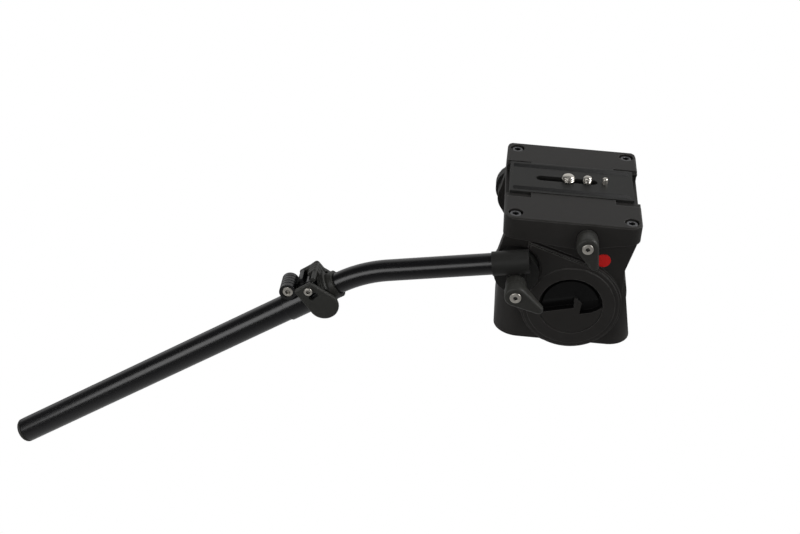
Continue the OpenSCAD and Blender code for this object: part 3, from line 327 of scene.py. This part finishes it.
# Places, in millimetres, as in the part's source
AXIS_Z = 53.0                                              # tilt axis
ROSETTE = (-42.0, 81.0)                                    # x and z of the bar's joint
BAR_Y, BAR_Z = -70.0, 94.0
BAR_R, BAR_BORE_R, BAR_END = 7.75, 6.15, 282.0             # thin tube, and its end past the knee
GRIP_R, GRIP_BORE_R = 9.5, 7.9                             # grip tube
SLOPE, BEND = math.radians(10.4), math.radians(23.9)       # fall of the bar, and its bend at the knee
BEND_R, KNEE = 90.0, 111.0                                 # radius of the bend, and the knee's distance
PLATE_Y, PIN_X = 3.5, 17.8                                 # camera plate's middle, and the pin on it
TANGENT = BEND_R * math.tan(BEND / 2)
KNEE_AT = np.array([ROSETTE[0] - KNEE * math.cos(SLOPE), BAR_Y, BAR_Z - KNEE * math.sin(SLOPE)])
DOWN_GRIP = np.array([-math.cos(SLOPE + BEND), 0, -math.sin(SLOPE + BEND)])
OVER_GRIP = np.array([-math.sin(SLOPE + BEND), 0, math.cos(SLOPE + BEND)])


def on_grip(p):
    """Local X along the grip from the knee, local Y above it, local height towards the viewer."""
    return KNEE_AT + p[..., :1] * DOWN_GRIP + p[..., 1:2] * OVER_GRIP - p[..., 2:] * np.array([0, 1.0, 0])


def down_grip(p):
    """Local height along the grip from the knee."""
    return KNEE_AT + p[..., 2:] * DOWN_GRIP + p[..., :1] * OVER_GRIP + p[..., 1:2] * np.array([0, 1.0, 0])


# Tubes

def bent_path():
    """The bar's centre line: straight, an arc of the bend's radius, then straight again."""
    u = np.linspace(-7, KNEE - TANGENT, 24)[:-1]
    first = np.stack([ROSETTE[0] - u * math.cos(SLOPE), 0 * u + BAR_Y, BAR_Z - u * math.sin(SLOPE)], -1)
    a = SLOPE + np.linspace(0, BEND, 28)
    straight = KNEE - TANGENT
    begin = np.array([ROSETTE[0] - straight * math.cos(SLOPE), BAR_Y, BAR_Z - straight * math.sin(SLOPE)])
    arc = begin + BEND_R * np.stack([math.sin(SLOPE) - np.sin(a), 0 * a, np.cos(a) - math.cos(SLOPE)], -1)
    last = KNEE_AT + np.linspace(TANGENT, BAR_END, 40)[1:, None] * DOWN_GRIP
    return np.vstack([first, arc, last])


bar_line = bent_path()
bar_wall = np.concatenate([piped(bar_line, BAR_R), piped(bar_line, BAR_BORE_R)[::-1]])
piece("bent_tube", [(bar_wall, True)], lacquer, "bar", ["pan_bar"])
grip_wall = eased([(GRIP_BORE_R, 50, 0), (GRIP_BORE_R, 308, 0), (9.1, 308.4, 0.4), (GRIP_R, 308, 0.4),
                   (GRIP_R, 51, 0.5), (9.2, 50, 0.3), (GRIP_BORE_R, 50, 0)], 4)
piece("grip_tube_wall", [(down_grip(turned(grip_wall[:-1])), True)], lacquer, "grip", ["grip_tube"])
cap = eased([(7.7, 297, 0), (7.7, 308.6, 0), (9.4, 308.7, 0.2),
             (GRIP_R, 310.2, 1.2), (8.2, 312, 1.6), (0.5, 312, 0)], 6)
piece("grip_end_cap", [down_grip(turned(cap))], moulded, "grip", ["grip_cap"])


# Levers

ARM_R, TIP_R, ARM_H, ARM_FILLET = 7.8, 3.0, 11, 2.0        # arm at the hub and at the tip


def lever_shells(hub, reach, degrees):
    """A hub of that height and an arm, the hull of two circles, that thins and turns in towards its tip; both have
    rounded rims."""
    outline, normal = hull_outline([(0, 0, ARM_R), (reach, 0, TIP_R)])
    out = np.clip(outline[:, 0] / (reach + TIP_R), 0, 1)
    arm = slab(outline, normal, hub - ARM_H + 2.6 * out ** 1.5, hub - 2.4 * out ** 2, ARM_FILLET)
    body = turned(eased([(5.6, 0, 0), (7.3, 0.2, 0.8), (7.4, hub - 6, 0), (6.9, hub - 4, 0)]))
    return [body, turned_by(arm, degrees)]


def lever_with_screw(name, place, hub, reach, degrees, body, lever_node, screw_node):
    """A clamping lever and the socket screw in its hub."""
    piece(name, [place(s) for s in lever_shells(hub, reach, degrees)], moulded, body, [lever_node])
    head = socket_head(4.0, hub - 0.6, hub + 0.7, 3.0, 1.6)
    shank = turned([(1.9, 1), (1.9, hub - 1)], 24)
    piece(name + "_screw", [place(head), place(shank)], nickel, body, [screw_node])


lever_with_screw("plate_lever_arm", near_side(5, 111, 57.3), 15.3, 17.5, -67,
                 "plate_lock", "plate_lock_lever", "plate_lock_screw")
lever_with_screw("bar_lever_arm", near_side(*ROSETTE, 77.0), 19.3, 20.5, -32,
                 "rosette_lock", "bar_lever", "bar_lever_screw")
lever_with_screw("tilt_lever_arm", far_side(0, AXIS_Z, 58.3), 16.3, 20, -120,
                 "tilt_lock", "tilt_lock_lever", "tilt_lock_screw")


# Drag dial

DIAL_R, DIAL_FACE, DIAL_TURN = 22.9, 6.5, 14.7             # rim, height of the face, turn of its axes in degrees
GROOVE_R, GROOVE_DEPTH, RIM_DROP = 20.7, 4.8, 0.15
LEFT_WALL, RIGHT_WALL, WALL_W = -1.5, -7.4, 0.7            # where each pocket ends in the flush half


def smooth_step(distance, width):
    """0 to 1 over a width centred on distance 0, flat at both ends."""
    s = np.clip(distance / width + 0.5, 0, 1)
    return s ** 2 * (3 - 2 * s)


def dial_shell():
    """A disc whose face is a height over the plane, in axes u, v turned with the dial: the lower half is flush, the
    upper half lies lower inside a deep groove and falls to a wall, a second pocket cuts into the lower half, and a
    finger web stands between."""
    n, rings = 288, 110
    t = np.linspace(0, 2 * np.pi, n, endpoint=False)
    r = np.concatenate([[DIAL_R, 22.5], np.linspace(22.2, 0.3, rings)])[:, None]
    x, y = r * np.cos(t), r * np.sin(t)
    a = math.radians(DIAL_TURN)
    u, v = x * math.cos(a) + y * math.sin(a), y * math.cos(a) - x * math.sin(a)
    # The web's sides lean outwards as they rise, and its end is cut on the slant
    web_left, web_right = 2.0 + 0.19 * (v - LEFT_WALL), 5.6 + 0.36 * (v + 7.3)
    web_end = 7.6 - 1.29 * (u - 3.75)
    in_left = smooth_step(web_left - u, 0.6)
    left = in_left * smooth_step(v - LEFT_WALL, WALL_W)
    right_floor = 0.12 * np.clip(u - 13, 0, 9) ** 1.5
    right = smooth_step(u - web_right, 0.6) * smooth_step(v - RIGHT_WALL - right_floor, WALL_W)
    past_web = smooth_step(v - web_end, WALL_W) * smooth_step(v - 1.3, WALL_W)
    sunk = np.maximum(past_web, np.maximum(left, right))
    left_depth = 1.3 + 3.2 * (1 - smooth_step(v - 3.4, 10)) * in_left
    right_depth = 1.5 + 3.0 * smooth_step(1.6 - v, 0.8)
    depth = np.where(u < web_left + 0.2, left_depth, right_depth)
    groove = smooth_step(r - GROOVE_R, 0.6)
    depth = depth * (1 - groove) + GROOVE_DEPTH * groove
    drop = np.array([RIM_DROP, 0.0] + [0.0] * rings)[:, None]
    h = DIAL_FACE - sunk * depth - drop
    foot = turned([(22.2, 0), (DIAL_R, 0.5)], n)
    return np.concatenate([foot, np.stack([x, y, h], -1)])


spigot = turned([(7, -1.7), (7, 0.5)], 48)
dial_at = near_side(0, AXIS_Z, 51.3)
piece("drag_dial", [dial_at(dial_shell()), dial_at(spigot)], dial_paint, "dial",
      ["tilt_dial"], 50)


# Camera plate: screws, pin and pads

def camera_screw(name, x, radius, head, pitch, dome, body, node):
    """A captive screw: a round head under the plate, a neck, and a thread with a domed tip above the plate."""
    place = upright(x, PLATE_Y)
    neck_r, thread_low, thread_high = 2.8, 122.8, 127.3
    under = turned(eased([(head * 0.9, 113.8, 0), (head, 114, 0.3), (head, 116.6, 0.3),
                          (neck_r, 116.8, 0), (neck_r, thread_low, 0)]))
    thread = threaded(radius, thread_low, thread_high, pitch, 0.45 * pitch, dome)
    piece(name, [place(under), place(thread)], nickel, body, [node], 25)


# 3/8 in with 16 threads and 1/4 in with 20 threads to the inch
camera_screw("large_thread", -9, 4.7625, 7, 1.5875, 2.2, "large_camera_screw", "large_screw")
camera_screw("small_thread", 5, 3.175, 5.5, 1.27, 1.6, "small_camera_screw", "small_screw")
pin_at = upright(PIN_X, PLATE_Y)
pin = eased([(3.3, 119.3, 0), (3.5, 119.4, 0.1), (3.5, 120.2, 0.1), (2.0, 120.25, 0),
             (2.0, 126.4, 1.0), (1.0, 127.1, 0.5), (0.3, 127.1, 0)])
piece("pin_rod", [pin_at(turned(pin, 48))], nickel, "twist_pin", ["video_pin"])


def coil(radius, wire, low, high, turns):
    """A spring: a round wire carried along a helix, its section held in the plane through the axis."""
    rows_per_turn = 40
    a = np.linspace(0, 2 * np.pi * turns, int(rows_per_turn * turns))[:, None]
    t = np.linspace(0, 2 * np.pi, 12, endpoint=False)
    r = radius + wire * np.cos(t)
    h = np.linspace(low + wire, high - wire, len(a))[:, None] + wire * np.sin(t)
    return np.stack([r * np.cos(a), r * np.sin(a), h], -1)


spring = coil(3.0, 0.4, 114.8, 119.2, 3.5)
pin_coil = piece("pin_coil", [pin_at(spring)], steel, "plate", ["pin_spring"])
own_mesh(pin_coil)


def ribbed_pad(y):
    """A strip whose top is a wave of fine ribs that run along it: height over width, carried along its length, with
    its top eased down at both ends."""
    half, foot, rib_pitch, rib = 2.5, 121.72, 1.0, 0.18
    across = np.linspace(-half, half, 61)
    top = 122.62 + rib * np.cos(across * 2 * np.pi / rib_pitch)
    section = np.concatenate([np.stack([across, top], -1), [[half, foot], [-half, foot]]])
    x = np.array([-49.0, -48.8, 35.8, 36.0])[:, None]
    drop = np.array([0.25, 0, 0, 0.25])[:, None]
    width, height = section[None, :, 0], section[None, :, 1]
    z = np.where(height > 122, height - drop, height)
    return np.stack([np.broadcast_to(x, z.shape), np.broadcast_to(y + width, z.shape), z], -1)


PAD_OFF = 17                                               # from the plate's middle
piece("plate_edge_pads", [ribbed_pad(PLATE_Y - PAD_OFF), ribbed_pad(PLATE_Y + PAD_OFF)], rubber, "plate",
      ["plate_pads"], 60)

corner_screw = socket_head(4.25, 116, 121, 4.4, 2.6), turned([(2.5, 100), (2.5, 117)], 32)
corner_heads = [upright(x, y)(s) for x in (-46.5, 35.5) for y in (-48.6, 48.6) for s in corner_screw]
piece("corner_cap_screws", corner_heads, black_zinc, "tilt_frame", ["corner_screws"])


# Tube clamp, in millimetres along the grip from the knee and above its axis

PIVOT, PINCH = np.array([36.0, 11.6, 0]), np.array([52.8, 14.6, 0])
FLANK = [(44.0, 14.4, 1.6), (32.6, 14.9, 1.6), (33.5, -4.5, 10.9)]         # circles: along, above, radius
FLANK_IN, FLANK_OUT, FLANK_FILLET = 11.3, 14.9, 1.3                        # to either side of the axis
NOTCH = [(37.0, 5.4, 2.1), (33.6, 6.2, 2.1)]
CREST, CREST_REAR = (29.6, 16.2, 2.2), (34.2, 16.1, 1.5)
RIBS, RIB_W, RIB_FOOT_R = (-11.6, -8.4, -5.2, -2.0), 3.15, 1.7             # far sides of the back's ribs
CLEAR_R = 11.2                                                             # room for the collar
ARCH, ARCH_END, ARCH_IN = 24.6, 30.2, 11.3                                 # arch over the collar


def ribbed_arch():
    """A band over the collar from the lever's back to its near flank: a section of three ribs, as (along, radius),
    carried round the grip's axis."""
    rib = np.array([(0, 12.5), (0.4, 13.3), (1.2, 13.3), (1.6, 12.5)])
    ribs = [rib + [ARCH + 2.0 * i, 0] for i in range(3)]
    section = np.vstack([[(ARCH, ARCH_IN)], *ribs, [(ARCH_END, ARCH_IN)]])
    a = np.radians(np.linspace(24, 100, 32))[:, None]
    along = np.broadcast_to(section[:, 0], (len(a), len(section)))
    return np.stack([along, section[:, 1] * np.sin(a), section[:, 1] * np.cos(a)], -1)


def flip_lever():
    """Two flanks, each the hull of three circles with rounded rims, the near one with a slot joined to it as an inner
    wall; a back of four ribs whose feet stop above the collar; a bar across; and a ribbed arch."""
    outline, normal = hull_outline(FLANK)
    shells = [on_grip(slab(outline, normal, -FLANK_OUT, -FLANK_IN, FLANK_FILLET))]
    hole, inward = hull_outline(NOTCH)
    wall = slab(hole, -inward, FLANK_IN, FLANK_OUT, 0.5)
    near = slab(outline, normal, FLANK_IN, FLANK_OUT, FLANK_FILLET)
    shells.append((on_grip(np.concatenate([near, wall[::-1]])), True))
    for low in RIBS:
        # The foot rests at the collar's height over the rib's side that is nearer to the axis
        nearer = min(abs(low), abs(low + 3.1)) if low < -2.5 else 0.0
        above = math.sqrt(CLEAR_R ** 2 - nearer ** 2) + RIB_FOOT_R
        foot = (CREST[0] - 1.8 * (CREST[1] - above) / CLEAR_R, above, RIB_FOOT_R)
        for other in (CREST_REAR, foot):
            shells.append(on_grip(slab(*hull_outline([CREST, other]), low, low + RIB_W, 0.6)))
    shells.append(on_grip(turned([(1.8, -11.6), (1.8, 11.6)], 32) + np.array([*CREST[:2], 0])))
    shells.append(on_grip(ribbed_arch()))
    return shells


piece("flip_lever_flanks", flip_lever(), moulded, "flip_lever", ["clamp_lever"])
head = socket_head(3.0, 15.2, 16.8, 2.6, 1.2)
rod = turned([(2.0, -15.2), (2.0, 15.3)], 32)
piece("flip_lever_pin", [on_grip(s + PIVOT) for s in (head, rod)], nickel, "grip", ["lever_pin"])
head = socket_head(4.0, 6.5, 8.1, 3.4, 1.4)
rod = turned([(2.5, -7.4), (2.5, 6.6)], 32)
piece("pinch_cap_screw", [on_grip(s + PINCH) for s in (head, rod)], nickel, "grip", ["pinch_screw"])

# Spirit level: a domed vial
dome = turned(eased([(3.6, 44, 0), (4.0, 44.1, 0.2), (4.0, 49.8, 0.6), (2.4, 50.3, 1.0), (0.2, 50.35, 0)]), 48)
piece("level_dome", [upright(-47.3, 0)(dome)], vial, "pan_body", ["level_vial"])


# Stage

def stage_floor():
    """A pale sheet below, as far down as a low tripod would stand: white to the camera, and in gloss glowing paler
    under the object than in front, a painted pool of light."""
    mesh = bpy.data.meshes.new("floor")
    half, z = 6, -0.75
    mesh.from_pydata([(-half, -half, z), (half, -half, z), (half, half, z), (-half, half, z)], [], [(0, 1, 2, 3)])
    floor = bpy.data.objects.new("floor", mesh)
    scene.collection.objects.link(floor)
    mat = bpy.data.materials.new("floor_paper")
    mat.use_nodes = True
    tree = mat.node_tree
    shader = tree.nodes["Principled BSDF"]
    shader.inputs["Base Color"].default_value = linear("#8c8c8c")
    shader.inputs["Roughness"].default_value = 0.9
    ray = add(tree, "ShaderNodeLightPath")
    place = add(tree, "ShaderNodeSeparateXYZ", None, Vector=add(tree, "ShaderNodeTexCoord").outputs["Object"])
    # Painted light: the glow seen in gloss fades from under the object towards the front
    lit = add(tree, "ShaderNodeMapRange",
              {"From Min": -1.0, "From Max": -0.3, "To Min": 0.1, "To Max": 0.24}, Value=place.outputs["Y"])
    faint = add(tree, "ShaderNodeMath", {"operation": "MULTIPLY"},
                _0=ray.outputs["Is Glossy Ray"], _1=lit.outputs["Result"])
    share = add(tree, "ShaderNodeMath", {"operation": "MAXIMUM"},
                _0=ray.outputs["Is Camera Ray"], _1=faint.outputs["Value"])
    white = add(tree, "ShaderNodeEmission", {"Strength": 1.0})
    mix = add(tree, "ShaderNodeMixShader", None,
              _0=share.outputs["Value"], _1=shader.outputs["BSDF"], _2=white.outputs["Emission"])
    tree.links.new(mix.outputs["Shader"], tree.nodes["Material Output"].inputs["Surface"])
    mesh.materials.append(mat)


def soft_light(name, place, target, size, power, roll=0, spread=180, in_gloss=True):
    """An area lamp, its size in metres and its power in watts, that faces its target, rolled by degrees."""
    data = bpy.data.lights.new(name, "AREA")
    data.shape, (data.size, data.size_y) = "RECTANGLE", size
    data.energy, data.spread = power, math.radians(spread)
    lamp = bpy.data.objects.new(name, data)
    lamp.location = place
    faces = (Vector(target) - Vector(place)).to_track_quat("-Z", "Y")
    lamp.rotation_euler = (faces @ Quaternion((0, 0, 1), math.radians(roll))).to_euler()
    lamp.visible_glossy = in_gloss
    scene.collection.objects.link(lamp)


def camera():
    """The photograph's view, from an azimuth, elevation and roll in degrees and a place in millimetres."""
    az, el, roll = math.radians(2.53), math.radians(32.43), math.radians(3.89)
    back = Vector((math.sin(az) * math.cos(el), -math.cos(az) * math.cos(el), math.sin(el)))
    right = Vector((math.cos(az), math.sin(az), 0))
    up = back.cross(right)
    across = math.cos(roll) * right + math.sin(roll) * up
    upward = -math.sin(roll) * right + math.cos(roll) * up
    data = bpy.data.cameras.new("photo_camera")
    data.lens, data.sensor_width, data.sensor_fit = 67.5, 36.0, "HORIZONTAL"
    data.clip_start, data.clip_end = 0.01, 50
    cam = bpy.data.objects.new("photo_camera", data)
    cam.matrix_world = Matrix((across, upward, back)).transposed().to_4x4()
    cam.location = Vector((-84.79, -966.41, 651.12)) * MM
    scene.collection.objects.link(cam)
    scene.camera = cam


stage_floor()
camera()
soft_light("key", (-1.05, -1.2, 0.64), (-0.2, -0.07, 0.02), (1.9, 0.8), 14, roll=27)
soft_light("overhead", (-0.1, 0.2, 1.6), (-0.1, 0, 0.05), (1.6, 1.2), 5, spread=70, in_gloss=False)
soft_light("left_bounce", (-1.0, -0.25, -0.1), (-0.04, -0.03, 0.08), (0.8, 0.6), 3.5, spread=120, in_gloss=False)
soft_light("right_rim", (1.15, 0.1, 0.95), (0, -0.05, 0.06), (0.9, 0.35), 18)
soft_light("front_fill", (0.5, -1.8, 0.6), (-0.1, 0, 0.02), (1.5, 1.0), 4, spread=70, in_gloss=False)


def studio():
    """The room: white to the camera and behind the object, pale to its right, dim overhead and in front."""
    world = bpy.data.worlds.new("studio")
    scene.world = world
    world.use_nodes = True
    tree = world.node_tree
    ray = add(tree, "ShaderNodeLightPath")
    level = add(tree, "ShaderNodeMath", {"operation": "MAXIMUM"},
                _0=ray.outputs["Is Camera Ray"], _1=ray.outputs["Is Transmission Ray"])
    way = add(tree, "ShaderNodeSeparateXYZ", None, Vector=add(tree, "ShaderNodeTexCoord").outputs["Generated"])
    dim = 0.08
    # Each wall brightens from begin to whole, as shares of the way straight towards it
    for axis, begin, whole, bright in (("Y", 0.35, 0.8, 0.8), ("X", 0.5, 0.9, 0.7)):
        wall = add(tree, "ShaderNodeMapRange",
                   {"interpolation_type": "SMOOTHSTEP", "From Min": begin, "From Max": whole,
                    "To Min": dim, "To Max": bright}, Value=way.outputs[axis])
        level = add(tree, "ShaderNodeMath", {"operation": "MAXIMUM"},
                    _0=level.outputs["Value"], _1=wall.outputs["Result"])
    tree.links.new(level.outputs["Value"], tree.nodes["Background"].inputs["Strength"])
    tree.nodes["Background"].inputs["Color"].default_value = (1, 1, 1, 1)


studio()
scene.view_settings.view_transform = "Standard"
